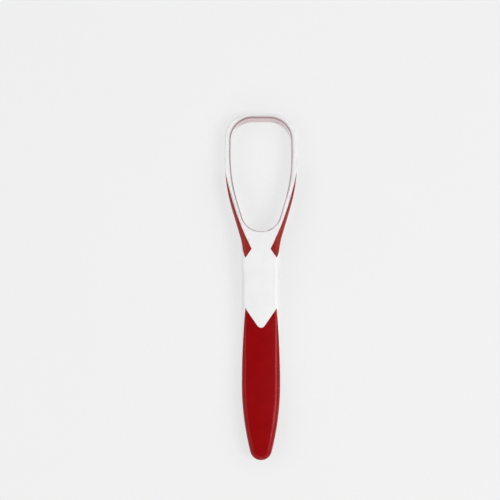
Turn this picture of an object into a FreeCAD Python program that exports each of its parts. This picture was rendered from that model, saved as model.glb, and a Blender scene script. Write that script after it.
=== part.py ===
import FreeCAD, Part
import math
import os
from FreeCAD import Vector

# Tongue scraper: a hard white frame moulded in one piece, with soft red mouldings seated in it.
# It lies on its back: X across, +Y towards the loop, +Z up out of the front, z = 0 under the back.
# Lengths are millimetres, angles are degrees.

# Plan outline of the whole tool
overall_length = 163.0
top_corner_width = 33.4
top_corner_radius = 11.5
shoulder_width = 34.8
shoulder_from_top = 32.4
shoulder_radius = 90.0
handle_width = 18.1
neck_from_top = 60.2
neck_radius = 20.0
taper_from_butt = 20.5
taper_radius = 130.0
butt_radius = 5.2

# Opening of the loop, drawn on the front of the head; its wall leans towards the top
top_bar_width = 1.9
opening_corner_width = 28.5
opening_corner_radius = 10.5
opening_shoulder_width = 28.9
opening_shoulder_from_top = 30.6
opening_shoulder_radius = 80.0
opening_length = 53.7
opening_foot_radius = 9.3
opening_lean_angle = 9.0

# Side profile: a level handle, and a head of even depth that slopes down from the crest to its top
handle_height = 9.0
head_depth = 6.2
head_slope_angle = 4.0
crest_from_top = 68.1
crest_radius = 18.0
rise_length = 19.4
rise_radius = 60.0
arch_from_top = 71.5
arch_radius = 45.0
arch_length = 24.0
arch_foot_radius = 90.0

# Rounding of the outer edges: full on the handle, running out along the arms to a fine rim on the loop
handle_edge_radius = 2.5
rim_radius = 0.8
edge_limit_share = 0.46
side_limit_share = 0.98

# Soft grip: its upper edge has a notch in front and at the back, and a long notch at each side
waist_length = 24.1
grip_tip_width = 14.4
notch_depth = 8.9
notch_foot_radius = 2.0
side_notch_from_butt = 16.5
side_notch_bow = 0.6

# Soft inlays on the outer flanks of the arms
inlay_start_from_top = 27.0
inlay_end_radius = 2.8
inlay_bow = 1.35
inlay_corner_width = 8.8
inlay_corner_from_top = 63.5
inlay_tip_width = 14.4
inlay_tip_from_top = 67.5
inlay_notch_from_top = 54.0

# Hard core under the soft mouldings
soft_edge_depth = 0.14
notch_end_radius = 0.5
spine_width = 9.0
spine_thickness = 3.0
spine_middle_height = 4.2
spine_end_from_butt = 9.0
window_width = 4.4
window_length = 9.0
window_pitch = 14.0
first_window_from_butt = 21.0
inlay_rib_thickness = 1.6
inlay_rib_cover = 0.9

# Soft scraping lip round the front edge of the opening, widest along the top bar
lip_top_width = 0.5
lip_foot_width = 0.08
lip_seat_depth = 0.6
lip_stand_out = 0.4

# Reach of a cutting body past what it cuts, and the angle from upright within which a face is a wall
overrun = 5.0
wall_angle = 30.0

top_y = overall_length / 2
butt_y = -overall_length / 2
crest_y = top_y - crest_from_top
inlay_tip_y = top_y - inlay_tip_from_top
grip_tip_y = inlay_tip_y - waist_length
notch_foot_y = grip_tip_y - notch_depth
reach_x = shoulder_width
floor_z = -overrun
ceiling_z = handle_height + head_depth + overrun


def side_room(length, wanted):
    """Share of the wanted roundings that a side of this length has room for."""
    return min(1, side_limit_share * length / wanted) if wanted > 0 else 1


def rounded_wire(corners):
    """Closed outline through corners (x, y, radius), each rounded by an arc tangent to its two sides."""
    count = len(corners)
    points = [Vector(x, y, 0) for x, y, _ in corners]
    arms = []
    reaches = []
    for index, (_, _, radius) in enumerate(corners):
        to_before = (points[index - 1] - points[index]).normalize()
        to_after = (points[(index + 1) % count] - points[index]).normalize()
        half_angle = to_before.getAngle(to_after) / 2
        arms.append((to_before, to_after, half_angle))
        reaches.append(radius / math.tan(half_angle))
    rooms = []
    for index in range(count):
        length = points[index].distanceToPoint(points[index - 1])
        rooms.append(side_room(length, reaches[index] + reaches[index - 1]))
    arcs = []
    for index, (to_before, to_after, half_angle) in enumerate(arms):
        reach = reaches[index] * min(rooms[index], rooms[(index + 1) % count])
        inward = (to_before + to_after).normalize()
        rise = reach / math.cos(half_angle) - reach * math.tan(half_angle)
        corner = points[index]
        arcs.append((corner + to_before * reach, corner + inward * rise, corner + to_after * reach, reach))
    edges = []
    for index, (start, middle, end, reach) in enumerate(arcs):
        if reach > 0:
            edges.append(Part.Arc(start, middle, end).toShape())
        edges.append(Part.LineSegment(end, arcs[(index + 1) % count][0]).toShape())
    return Part.Wire(edges)


def foot_corner(x, y, foot_y, radius):
    """Corner on the centre line whose rounding just reaches foot_y, for a side that starts at (x, y)."""
    rise = y - (foot_y + radius)
    lean = math.atan2(x, rise) - math.asin(radius / math.hypot(x, rise))
    return 0, y - x / math.tan(lean), radius


def footed_face(right, foot_y, foot_radius):
    """Symmetrical plan from the corners of its right half, listed downwards, and a round foot."""
    left = [(-x, y, radius) for x, y, radius in reversed(right)]
    side_x, side_y, _ = right[-1]
    return Part.Face(rounded_wire(right + [foot_corner(side_x, side_y, foot_y, foot_radius)] + left))


def slot_face(width, low_y, high_y):
    """Plan of a long hole or bar on the centre line, with half-round ends."""
    half = width / 2
    low_left, low_right = Vector(-half, low_y + half, 0), Vector(half, low_y + half, 0)
    high_left, high_right = Vector(-half, high_y - half, 0), Vector(half, high_y - half, 0)
    return Part.Face(Part.Wire([
        Part.Arc(low_left, Vector(0, low_y, 0), low_right).toShape(),
        Part.LineSegment(low_right, high_right).toShape(),
        Part.Arc(high_right, Vector(0, high_y, 0), high_left).toShape(),
        Part.LineSegment(high_left, low_left).toShape(),
    ]))


def upright(face, low, high):
    """A plan face drawn at z = 0, raised into a prism from low to high."""
    prism = face.extrude(Vector(0, 0, high - low))
    prism.translate(Vector(0, 0, low))
    return prism


def across(wire):
    """A side profile drawn as (y, z), carried through the whole width."""
    face = Part.Face(wire)
    face.Placement = FreeCAD.Placement(Vector(-reach_x, 0, 0), FreeCAD.Rotation(Vector(1, 1, 1), 120))
    return face.extrude(Vector(2 * reach_x, 0, 0))


def tilted(shape):
    """A part of the head, drawn lying flat, turned down about the front edge of the head's top."""
    shape.rotate(Vector(0, top_y, head_depth), Vector(1, 0, 0), -head_slope_angle)
    return shape


def outline_face():
    """Plan of the tool: loop, arms, straight handle and tapered butt."""
    right = [
        (top_corner_width / 2, top_y, top_corner_radius),
        (shoulder_width / 2, top_y - shoulder_from_top, shoulder_radius),
        (handle_width / 2, top_y - neck_from_top, neck_radius),
        (handle_width / 2, butt_y + taper_from_butt, taper_radius),
    ]
    return footed_face(right, butt_y, butt_radius)


def run_out_face():
    """Plan of the handle with its arms carried straight on past the head, so that they leave the loop."""
    neck_y = top_y - neck_from_top
    far_y = top_y + 2 * overrun
    splay = (shoulder_width - handle_width) / 2 / (neck_from_top - shoulder_from_top)
    right = [
        (handle_width / 2 + splay * (far_y - neck_y), far_y, 0),
        (handle_width / 2, neck_y, neck_radius),
        (handle_width / 2, butt_y + taper_from_butt, taper_radius),
    ]
    return footed_face(right, butt_y, butt_radius)


def opening_face():
    """Plan of the loop's opening: straight top, full shoulders and sides that run down to a round foot."""
    right = [
        (opening_corner_width / 2, top_y - top_bar_width, opening_corner_radius),
        (opening_shoulder_width / 2, top_y - opening_shoulder_from_top, opening_shoulder_radius),
    ]
    return footed_face(right, top_y - top_bar_width - opening_length, opening_foot_radius)


def head_heights(y):
    """Heights of the head's back and front planes at one place along the tool."""
    slope = math.radians(head_slope_angle)
    front = head_depth + (top_y - y) * math.tan(slope)
    return front - head_depth / math.cos(slope), front


def side_wire():
    """Side profile as (y, z): level handle, rise to the crest, sloping head and arched neck."""
    far_y = top_y + overrun
    arch_y = top_y - arch_from_top
    return rounded_wire([
        (-far_y, 0, 0),
        (arch_y - arch_length, 0, arch_foot_radius),
        (arch_y, head_heights(arch_y)[0], arch_radius),
        (far_y, head_heights(far_y)[0], 0),
        (far_y, head_heights(far_y)[1], 0),
        (crest_y, head_heights(crest_y)[1], crest_radius),
        (crest_y - rise_length, handle_height, rise_radius),
        (-far_y, handle_height, 0),
    ])


def heights_at(y):
    """Heights of the back and of the front at one place along the tool."""
    plumb_line = Part.LineSegment(Vector(y, floor_z, 0), Vector(y, ceiling_z, 0)).toShape()
    box = plumb_line.common(Part.Face(side_wire())).BoundBox
    return box.YMin, box.YMax


def half_width_at(y):
    """Half width of the plan outline at one place along the tool."""
    cross_line = Part.LineSegment(Vector(0, y, 0), Vector(reach_x, y, 0)).toShape()
    return cross_line.common(outline_face()).BoundBox.XMax


def is_wall(face):
    """True for a face that stands more or less upright."""
    u_start, u_end, v_start, v_end = face.ParameterRange
    normal = face.normalAt((u_start + u_end) / 2, (v_start + v_end) / 2)
    return abs(normal.z) < math.sin(math.radians(wall_angle))


def is_rim(edge, body):
    """True for an edge where a wall meets the front or the back, on the tool itself."""
    faces = body.ancestorsOfType(edge, Part.Face)
    on_tool = all(vertex.Y < top_y + overrun / 2 for vertex in edge.Vertexes)
    return on_tool and sum(is_wall(face) for face in faces) == 1


def rounded_body(plan_face, radius):
    """Plan carried through the depth, upright on the handle and square to the head, with rounded rims."""
    whole = upright(plan_face, floor_z, ceiling_z)
    corner = Vector(-reach_x, crest_y - overall_length, floor_z)
    below_crest = Part.makeBox(2 * reach_x, overall_length, ceiling_z - floor_z, corner)
    handle = whole.common(below_crest)
    head = tilted(whole).cut(below_crest)
    body = handle.fuse(head).removeSplitter().common(across(side_wire())).Solids[0]
    return body.makeFillet(radius, [edge for edge in body.Edges if is_rim(edge, body)])


def leaning(face):
    """A plan face drawn on the front of the head, carried through it along the opening's leaning wall."""
    lean = math.tan(math.radians(opening_lean_angle))
    low = -overrun
    high = head_depth + overrun
    prism = face.extrude(Vector(0, lean * (high - low), high - low))
    prism.translate(Vector(0, lean * (low - head_depth), low))
    return prism


def skin():
    """Outer form of the whole tool with the loop open: fully rounded on the handle, finely on the loop."""
    handle_radius = min(handle_edge_radius, edge_limit_share * min(handle_height, head_depth))
    loop_radius = min(rim_radius, edge_limit_share * top_bar_width)
    full = rounded_body(run_out_face(), handle_radius)
    fine = rounded_body(outline_face(), loop_radius)
    return fine.common(full).cut(tilted(leaning(opening_face())))


def bowed(start, end, bow):
    """Arc from start to end that swells by bow to the right of its way."""
    way = end - start
    aside = Vector(way.y, -way.x, 0).normalize()
    return Part.Arc(start, (start + end) / 2 + aside * bow, end).toShape()


def core():
    """Hard core in side view: thick at the waist, running out to a notch at each end."""
    inlay_notch_y = top_y - inlay_notch_from_top
    side_notch_y = butt_y + side_notch_from_butt
    inlay_back, inlay_front = heights_at(inlay_tip_y)
    grip_back, grip_front = heights_at(grip_tip_y)
    waist_and_inlays = across(rounded_wire([
        (grip_tip_y, grip_back + soft_edge_depth, 0),
        (inlay_tip_y, inlay_back + soft_edge_depth, 0),
        (inlay_notch_y, sum(heights_at(inlay_notch_y)) / 2, notch_end_radius),
        (inlay_tip_y, inlay_front - soft_edge_depth, 0),
        (grip_tip_y, grip_front - soft_edge_depth, 0),
    ]))
    back = Vector(grip_tip_y, grip_back + soft_edge_depth, 0)
    front = Vector(grip_tip_y, grip_front - soft_edge_depth, 0)
    point = Vector(side_notch_y, sum(heights_at(side_notch_y)) / 2, 0)
    side_notch = across(Part.Wire([
        bowed(front, point, side_notch_bow),
        bowed(point, back, side_notch_bow),
        Part.LineSegment(back, front).toShape(),
    ]))
    return waist_and_inlays.fuse(side_notch).removeSplitter()


def spine():
    """Flat bar inside the grip, from the waist nearly to the butt."""
    low = spine_middle_height - spine_thickness / 2
    plan = slot_face(spine_width, butt_y + spine_end_from_butt, grip_tip_y)
    return upright(plan, low, low + spine_thickness)


def windows():
    """Long holes through the core, as many as the grip has room for, where the soft grip locks on."""
    first_y = butt_y + first_window_from_butt
    count = int((notch_foot_y - first_y + window_pitch - window_length) / window_pitch)
    lows = [first_y + index * window_pitch for index in range(max(count, 1))]
    return [upright(slot_face(window_width, low, low + window_length), floor_z, ceiling_z) for low in lows]


def grip_zone():
    """Space of the soft grip: below its notched upper edge and outside the hard core."""
    tip_x = grip_tip_width / 2
    foot = foot_corner(tip_x, grip_tip_y, notch_foot_y, notch_foot_radius)
    edge_y = grip_tip_y + (grip_tip_y - foot[1]) * (reach_x - tip_x) / tip_x
    below_y = butt_y - overrun
    face = Part.Face(rounded_wire([
        foot,
        (reach_x, edge_y, 0),
        (reach_x, below_y, 0),
        (-reach_x, below_y, 0),
        (-reach_x, edge_y, 0),
    ]))
    hard = core().fuse(spine()).cut(windows())
    return upright(face, floor_z, ceiling_z).cut(hard)


def inlay_rib():
    """Thin rib of the frame that stands inside each inlay, under a cover of soft material."""
    low_y = top_y - inlay_notch_from_top - overrun
    high_y = top_y - inlay_start_from_top
    half = inlay_rib_thickness / 2
    low_z = sum(head_heights(low_y)) / 2
    high_z = sum(head_heights(high_y)) / 2
    band = across(rounded_wire([
        (low_y, low_z - half, 0),
        (high_y, high_z - half, 0),
        (high_y, high_z + half, 0),
        (low_y, low_z + half, 0),
    ]))
    inner_face = outline_face().makeOffset2D(-inlay_rib_cover)
    return tilted(upright(inner_face, floor_z, ceiling_z)).common(band)


def inlay_zone(side):
    """Space of one inlay: outside a bowed line down the arm that ends in an arrow at the neck."""
    start_y = top_y - inlay_start_from_top
    start = Vector(half_width_at(start_y), start_y, 0)
    corner = Vector(inlay_corner_width / 2, top_y - inlay_corner_from_top, 0)
    tip = Vector(inlay_tip_width / 2, inlay_tip_y, 0)
    chord = corner - start
    outward = Vector(-chord.y, chord.x, 0).normalize()
    middle = (start + corner) / 2 + outward * inlay_bow
    end = corner + (tip - corner) * (reach_x - corner.x) / (tip.x - corner.x)
    out_high = Vector(reach_x, start.y, 0)
    wire = Part.Wire([
        Part.Arc(start, middle, corner).toShape(),
        Part.LineSegment(corner, end).toShape(),
        Part.LineSegment(end, out_high).toShape(),
        Part.LineSegment(out_high, start).toShape(),
    ])
    back, front = heights_at(start.y)
    round_end = across(rounded_wire([
        (end.y, floor_z, 0),
        (end.y, ceiling_z, 0),
        (corner.y, ceiling_z, 0),
        (start.y, front, inlay_end_radius),
        (start.y, back, inlay_end_radius),
        (corner.y, floor_z, 0),
    ]))
    prism = upright(Part.Face(wire), floor_z, ceiling_z).common(round_end)
    zone = prism.cut([core(), inlay_rib()])
    if side < 0:
        zone = zone.mirror(Vector(0, 0, 0), Vector(1, 0, 0))
    return zone


def lip():
    """Ring round the front edge of the opening, seated in the head and standing out of it."""
    outer = opening_face().makeOffset2D((lip_top_width + lip_foot_width) / 2)
    outer.translate(Vector(0, (lip_top_width - lip_foot_width) / 2, 0))
    ring = leaning(outer).cut(leaning(opening_face()))
    corner = Vector(-reach_x, crest_y, head_depth - lip_seat_depth)
    layer = Part.makeBox(2 * reach_x, crest_from_top + overrun, lip_seat_depth + lip_stand_out, corner)
    return tilted(ring.common(layer).Solids[0])


def main():
    os.makedirs("parts", exist_ok=True)
    whole = skin()
    grip = grip_zone()
    inlays = {"left_arm_inlay": inlay_zone(-1), "right_arm_inlay": inlay_zone(1)}
    scraping_lip = lip()
    pieces = {name: whole.common(zone) for name, zone in inlays.items()}
    pieces["grip_sleeve"] = whole.common(grip)
    pieces["scraping_lip"] = scraping_lip
    pieces["frame"] = whole.cut([grip, scraping_lip] + list(inlays.values()))
    for name, shape in pieces.items():
        print(name, len(shape.Solids), "solid", shape.isValid(), round(shape.Volume, 2))
        shape.exportStep("parts/" + name + ".step")


main()
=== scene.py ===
import math

import bmesh
import bpy
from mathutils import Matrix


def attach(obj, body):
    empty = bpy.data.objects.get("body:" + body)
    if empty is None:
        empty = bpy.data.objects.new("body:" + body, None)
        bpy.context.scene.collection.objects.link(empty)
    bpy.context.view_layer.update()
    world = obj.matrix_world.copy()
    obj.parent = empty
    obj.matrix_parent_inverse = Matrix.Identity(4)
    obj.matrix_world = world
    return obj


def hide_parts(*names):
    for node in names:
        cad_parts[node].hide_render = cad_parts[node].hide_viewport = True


# Tongue scraper on a pale floor, seen from straight above. Metres; X across, +Y towards the loop.

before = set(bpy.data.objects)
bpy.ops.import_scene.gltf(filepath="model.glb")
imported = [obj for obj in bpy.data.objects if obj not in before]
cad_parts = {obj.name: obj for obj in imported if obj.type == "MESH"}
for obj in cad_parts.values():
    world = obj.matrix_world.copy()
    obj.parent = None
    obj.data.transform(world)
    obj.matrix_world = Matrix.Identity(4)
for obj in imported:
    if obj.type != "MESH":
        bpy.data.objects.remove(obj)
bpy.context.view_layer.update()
scene = bpy.context.scene
scene.view_settings.view_transform = "Standard"

MM = 0.001

# The front of the handle is crowned: it falls away to its sides, and this fades out at the neck
CROWN = 0.5 * MM
CROWN_HALF_WIDTH = 9.05 * MM
CROWN_FADES_FROM = 2.0 * MM
CROWN_ENDS_AT = 15.0 * MM
CROWN_ABOVE = 4.5 * MM
CROWN_FULL_AT = 8.0 * MM
CROWN_STEP = 1.0 * MM
WELD = 0.0005 * MM
SHARP_ANGLE = math.radians(28)

# Colours, each from the darker to the paler of its faint clouds
WHITE = (0.845, 0.845, 0.85), (0.875, 0.875, 0.875)
GRIP_RED = (0.262, 0.0024, 0.0034), (0.290, 0.0029, 0.0040)
# The inlays are the grip's elastomer; their red is paler than the grip red as painted sheen of
# their sloped side faces
INLAY_RED_PAINTED_SHEEN = (0.285, 0.021, 0.016), (0.315, 0.024, 0.018)
LIP_ROSE = (0.38, 0.25, 0.262), (0.41, 0.27, 0.285)
PALE_CARD = (0.868, 0.868, 0.872), (0.882, 0.882, 0.884)

# Surfaces: range of roughness, length of the clouds, length and height of the grain
SATIN = (0.26, 0.36), 9 * MM, 0.6 * MM, 0.006 * MM
SOFT_TOUCH = (0.22, 0.30), 6 * MM, 0.3 * MM, 0.006 * MM
GLOSS_CLOUDS = 2.5
RED_SHEEN = (1.0, 0.30, 0.33, 1)

# The wall of the opening below the top bar is darkened and tinted rose: painted shade, with
# painted red light bounced from the soft lip
PAINTED_SHADE_ROSE = (0.658, 0.536, 0.555, 1)
PAINTED_SHADE_ALONG = (66 * MM, 74 * MM)
PAINTED_SHADE_FACING = (0.45, 0.90)

# Sky of the studio from the horizon (0) to overhead (1), as shares of its strength
SKY_BANDS = [(0.02, 0.25), (0.30, 0.30), (0.46, 1.0), (0.74, 1.0), (0.86, 0.02)]
SKY_STRENGTH = 1.24
BACKDROP = (0.89, 0.89, 0.895, 1)

# The floor shows this pale tone to the camera, mixed with its lit and shadowed surface
FLOOR_GLOW = (0.875, 0.875, 0.880, 1)
FLOOR_GLOW_SHARE = 0.74
FLOOR_HALF = 1500 * MM
FLOOR_CLOUDS = 60 * MM

# Lamps: name, place, width and height in metres, watts
LAMPS = [
    ("right_softbox", (0.50, -0.12, 0.72), 0.26, 0.40, 2.6),
    ("left_softbox", (-0.75, 0.05, 0.60), 0.50, 0.50, 0.9),
    ("low_softbox", (0.0, -0.85, 0.42), 0.08, 0.08, 0.5),
]

# The picture is 235.5 mm wide at the front of the tool
EYE = (-5.17 * MM, 17.43 * MM, 606.0 * MM)
SENSOR_WIDTH = 36.0
LENS = 91.7


def smooth_step(low, high, value):
    """0 below low, 1 above high, and an even run between them."""
    share = min(1.0, max(0.0, (value - low) / (high - low)))
    return share * share * (3 - 2 * share)


def crown_drop(point):
    """How far a point of the handle sinks under the crown."""
    along = 1 - smooth_step(CROWN_FADES_FROM, CROWN_ENDS_AT, point.y)
    upwards = smooth_step(CROWN_ABOVE, CROWN_FULL_AT, point.z)
    return CROWN * along * upwards * min(1.0, abs(point.x) / CROWN_HALF_WIDTH) ** 2


def slice_through(work, place, normal):
    """Adds a line of points where a plane crosses the mesh."""
    whole = work.verts[:] + work.edges[:] + work.faces[:]
    bmesh.ops.bisect_plane(work, geom=whole, dist=WELD, plane_co=place, plane_no=normal)


def even_normals(piece):
    """Shades by the area of the faces, so that long thin triangles leave no streaks."""
    shading = piece.modifiers.new("even_normals", "WEIGHTED_NORMAL")
    shading.keep_sharp = True
    shading.weight = 50
    with bpy.context.temp_override(object=piece, active_object=piece):
        bpy.ops.object.modifier_apply(modifier=shading.name)


def crowned_copy(node_name, name, material):
    """Copy of a CAD node with a finer mesh and the crowned front, shown instead of the node."""
    mesh = bpy.data.meshes.new(name)
    work = bmesh.new()
    work.from_mesh(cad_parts[node_name].data)
    bmesh.ops.remove_doubles(work, verts=work.verts, dist=WELD)
    for index in range(int(2 * CROWN_HALF_WIDTH / CROWN_STEP)):
        across = index * CROWN_STEP - CROWN_HALF_WIDTH + CROWN_STEP / 2
        slice_through(work, (across, 0, 0), (1, 0, 0))
    for index in range(int((CROWN_ENDS_AT - CROWN_FADES_FROM) / CROWN_STEP) + 1):
        slice_through(work, (0, CROWN_FADES_FROM + index * CROWN_STEP, 0), (0, 1, 0))
    for vertex in work.verts:
        vertex.co.z -= crown_drop(vertex.co)
    work.to_mesh(mesh)
    work.free()
    mesh.shade_smooth()
    mesh.set_sharp_from_angle(angle=SHARP_ANGLE)
    mesh.materials.append(material)
    piece = bpy.data.objects.new(name, mesh)
    scene.collection.objects.link(piece)
    even_normals(piece)
    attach(piece, "root")
    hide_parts(node_name)


def new_material(name):
    """A material with a shader and an output."""
    material = bpy.data.materials.new(name)
    material.use_nodes = True
    tree = material.node_tree
    tree.nodes.clear()
    shader = tree.nodes.new("ShaderNodeBsdfPrincipled")
    output = tree.nodes.new("ShaderNodeOutputMaterial")
    tree.links.new(shader.outputs["BSDF"], output.inputs["Surface"])
    return material, tree, shader


def noise(tree, grain, detail):
    """Noise over the object's own space, with grains of the given length."""
    coords = tree.nodes.new("ShaderNodeTexCoord")
    node = tree.nodes.new("ShaderNodeTexNoise")
    node.inputs["Scale"].default_value = 1 / grain
    node.inputs["Detail"].default_value = detail
    tree.links.new(coords.outputs["Object"], node.inputs["Vector"])
    return node.outputs["Fac"]


def spread(tree, source, low, high):
    """Turns a noise into colours between low and high."""
    node = tree.nodes.new("ShaderNodeValToRGB")
    for element, place, colour in zip(node.color_ramp.elements, (0.3, 0.7), (low, high)):
        element.position = place
        element.color = (*colour, 1.0)
    tree.links.new(source, node.inputs["Fac"])
    return node.outputs["Color"]


def moulded(name, colours, surface):
    """Moulded surface: faint clouds of colour, uneven gloss and a fine grain."""
    (smoothest, roughest), clouds, grain, grain_height = surface
    material, tree, shader = new_material(name)
    tint = spread(tree, noise(tree, clouds, 2.0), *colours)
    tree.links.new(tint, shader.inputs["Base Color"])
    patches = noise(tree, GLOSS_CLOUDS * clouds, 4.0)
    rough = spread(tree, patches, (smoothest,) * 3, (roughest,) * 3)
    tree.links.new(rough, shader.inputs["Roughness"])
    bump = tree.nodes.new("ShaderNodeBump")
    bump.inputs["Distance"].default_value = grain_height
    tree.links.new(noise(tree, grain, 1.0), bump.inputs["Height"])
    tree.links.new(bump.outputs["Normal"], shader.inputs["Normal"])
    return material, tree, shader


def ramp(tree, source, span):
    """0 to 1 as the source runs through the span."""
    node = tree.nodes.new("ShaderNodeMapRange")
    node.inputs["From Min"].default_value = span[0]
    node.inputs["From Max"].default_value = span[1]
    tree.links.new(source, node.inputs["Value"])
    return node.outputs["Result"]


def multiply(tree, first, second):
    """Product of a socket with another socket, or with a number."""
    node = tree.nodes.new("ShaderNodeMath")
    node.operation = "MULTIPLY"
    tree.links.new(first, node.inputs[0])
    if isinstance(second, float):
        node.inputs[1].default_value = second
    else:
        tree.links.new(second, node.inputs[1])
    return node.outputs["Value"]


def show_to_camera(tree, lit, shown, share):
    """Lets the camera see a share of a plain tone in place of what lights the scene."""
    path = tree.nodes.new("ShaderNodeLightPath")
    mix = tree.nodes.new("ShaderNodeMixShader")
    output = next(node for node in tree.nodes if node.type.startswith("OUTPUT"))
    tree.links.new(multiply(tree, path.outputs["Is Camera Ray"], share), mix.inputs["Fac"])
    tree.links.new(lit, mix.inputs[1])
    tree.links.new(shown, mix.inputs[2])
    tree.links.new(mix.outputs["Shader"], output.inputs["Surface"])


def paint_wall_shade(tree, shader):
    """Paints shade and a rose tint of bounced red light on the wall below the top bar, which
    faces the handle.
    """
    coords = tree.nodes.new("ShaderNodeTexCoord")
    place = tree.nodes.new("ShaderNodeSeparateXYZ")
    facing = tree.nodes.new("ShaderNodeSeparateXYZ")
    tree.links.new(coords.outputs["Object"], place.inputs["Vector"])
    tree.links.new(coords.outputs["Normal"], facing.inputs["Vector"])
    towards_handle = multiply(tree, facing.outputs["Y"], -1.0)
    near_top = ramp(tree, place.outputs["Y"], PAINTED_SHADE_ALONG)
    share = multiply(tree, near_top, ramp(tree, towards_handle, PAINTED_SHADE_FACING))
    mix = tree.nodes.new("ShaderNodeMixRGB")
    tree.links.new(share, mix.inputs["Fac"])
    tree.links.new(shader.inputs["Base Color"].links[0].from_socket, mix.inputs["Color1"])
    mix.inputs["Color2"].default_value = PAINTED_SHADE_ROSE
    tree.links.new(mix.outputs["Color"], shader.inputs["Base Color"])


def hard_white():
    """Satin white plastic that lets a little light in, with painted shade on the wall below the
    top bar.
    """
    material, tree, shader = moulded("hard_white", WHITE, SATIN)
    # Painted shade and bounced red light on the wall below the top bar
    paint_wall_shade(tree, shader)
    shader.inputs["Specular IOR Level"].default_value = 0.25
    shader.inputs["Subsurface Weight"].default_value = 0.15
    shader.inputs["Subsurface Radius"].default_value = (1.0, 0.9, 0.8)
    shader.inputs["Subsurface Scale"].default_value = 0.8 * MM
    return material


def soft_red(name, colours):
    """Soft-touch red elastomer with a fine grain."""
    material, _, shader = moulded(name, colours, SOFT_TOUCH)
    shader.inputs["Specular IOR Level"].default_value = 0.4
    shader.inputs["Specular Tint"].default_value = RED_SHEEN
    return material


def floor():
    """Plain pale card that the tool lies on."""
    mesh = bpy.data.meshes.new("floor")
    turns = [(-1, -1), (1, -1), (1, 1), (-1, 1)]
    mesh.from_pydata([(x * FLOOR_HALF, y * FLOOR_HALF, 0) for x, y in turns], [], [(0, 1, 2, 3)])
    piece = bpy.data.objects.new("floor", mesh)
    scene.collection.objects.link(piece)
    material, tree, shader = new_material("pale_card")
    tint = spread(tree, noise(tree, FLOOR_CLOUDS, 2.0), *PALE_CARD)
    tree.links.new(tint, shader.inputs["Base Color"])
    shader.inputs["Roughness"].default_value = 0.9
    shader.inputs["Specular IOR Level"].default_value = 0.0
    glow = tree.nodes.new("ShaderNodeEmission")
    glow.inputs["Color"].default_value = FLOOR_GLOW
    show_to_camera(tree, shader.outputs["BSDF"], glow.outputs["Emission"], FLOOR_GLOW_SHARE)
    mesh.materials.append(material)


def softbox(name, place, width, height, watts):
    """Lamp that faces the middle of the object."""
    data = bpy.data.lights.new(name, "AREA")
    data.shape = "RECTANGLE"
    data.size = width
    data.size_y = height
    data.energy = watts
    lamp = bpy.data.objects.new(name, data)
    lamp.location = place
    lamp.rotation_euler = lamp.location.to_track_quat("Z", "Y").to_euler()
    scene.collection.objects.link(lamp)


def studio():
    """Bright all round, dark overhead and pale to the camera, with softboxes."""
    world = bpy.data.worlds.new("studio")
    world.use_nodes = True
    tree = world.node_tree
    background = tree.nodes["Background"]
    coords = tree.nodes.new("ShaderNodeTexCoord")
    axes = tree.nodes.new("ShaderNodeSeparateXYZ")
    bands = tree.nodes.new("ShaderNodeValToRGB")
    bands.color_ramp.elements.remove(bands.color_ramp.elements[1])
    for place, level in SKY_BANDS:
        element = bands.color_ramp.elements.new(place)
        element.color = (level, level, level, 1)
    bands.color_ramp.elements.remove(bands.color_ramp.elements[0])
    tree.links.new(coords.outputs["Generated"], axes.inputs["Vector"])
    tree.links.new(axes.outputs["Z"], bands.inputs["Fac"])
    tree.links.new(bands.outputs["Color"], background.inputs["Color"])
    background.inputs["Strength"].default_value = SKY_STRENGTH
    backdrop = tree.nodes.new("ShaderNodeBackground")
    backdrop.inputs["Color"].default_value = BACKDROP
    show_to_camera(tree, background.outputs["Background"], backdrop.outputs["Background"], 1.0)
    scene.world = world
    for lamp in LAMPS:
        softbox(*lamp)


def camera():
    """Straight above the tool, looking down."""
    data = bpy.data.cameras.new("camera")
    data.sensor_width = SENSOR_WIDTH
    data.lens = LENS
    eye = bpy.data.objects.new("camera", data)
    eye.location = EYE
    scene.collection.objects.link(eye)
    scene.camera = eye


white = hard_white()
grip_red = soft_red("grip_red", GRIP_RED)
# Paler red of the inlays: painted sheen
inlay_red_painted_sheen = soft_red("inlay_red_painted_sheen", INLAY_RED_PAINTED_SHEEN)
lip_rose = soft_red("lip_rose", LIP_ROSE)
crowned_copy("frame", "frame_moulding", white)
crowned_copy("grip_sleeve", "grip_moulding", grip_red)
crowned_copy("left_arm_inlay", "left_inlay_moulding", inlay_red_painted_sheen)
crowned_copy("right_arm_inlay", "right_inlay_moulding", inlay_red_painted_sheen)
lip_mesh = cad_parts["scraping_lip"].data
lip_mesh.materials.clear()
lip_mesh.materials.append(lip_rose)
floor()
studio()
camera()
